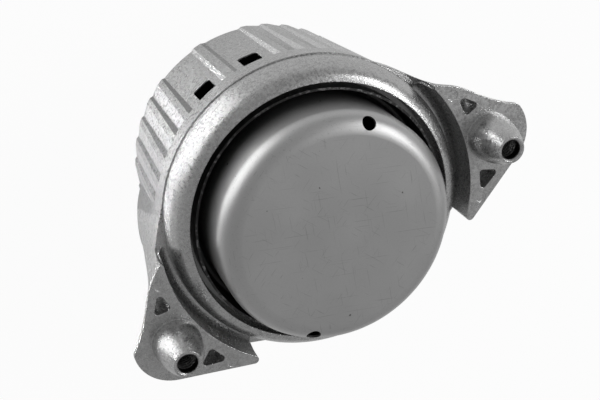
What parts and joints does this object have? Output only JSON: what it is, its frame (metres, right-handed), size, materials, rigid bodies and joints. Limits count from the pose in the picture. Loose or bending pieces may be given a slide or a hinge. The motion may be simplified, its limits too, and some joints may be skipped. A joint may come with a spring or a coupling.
{
  "type": "engine mount",
  "caption": "Hydraulic engine mount: ribbed cast aluminium housing with a rounded rim, an ear with a threaded dome on each side, and a steel cup cover over a rubber spring.",
  "frame": {"origin": "centre of the core's lower flat face, on the mount's axis", "axes": "+Z along the mount's axis towards the steel cup, +X along the line from one ear's hole to the other's, +Y towards the side with the two windows"},
  "size_m": [0.1554, 0.1028, 0.0869],
  "materials": {
    "cast_aluminium": "as cast, shot blasted",
    "machined_aluminium": "machined",
    "cover_steel": "deep drawn, satin",
    "inner_steel": "plain",
    "rubber": "matt"
  },
  "bodies": {
    "root": {"housing": "cast_aluminium", "cover": "cover_steel", "retaining_ring": "inner_steel", "core": "machined_aluminium", "main_spring": "rubber", "spring_ring": "inner_steel", "spring_insert": "inner_steel", "rebound_stop": "rubber", "lower_track_plate": "machined_aluminium", "upper_track_plate": "machined_aluminium", "decoupler": "rubber", "diaphragm": "rubber", "diaphragm_ring": "inner_steel"}
  },
  "joints": []
}
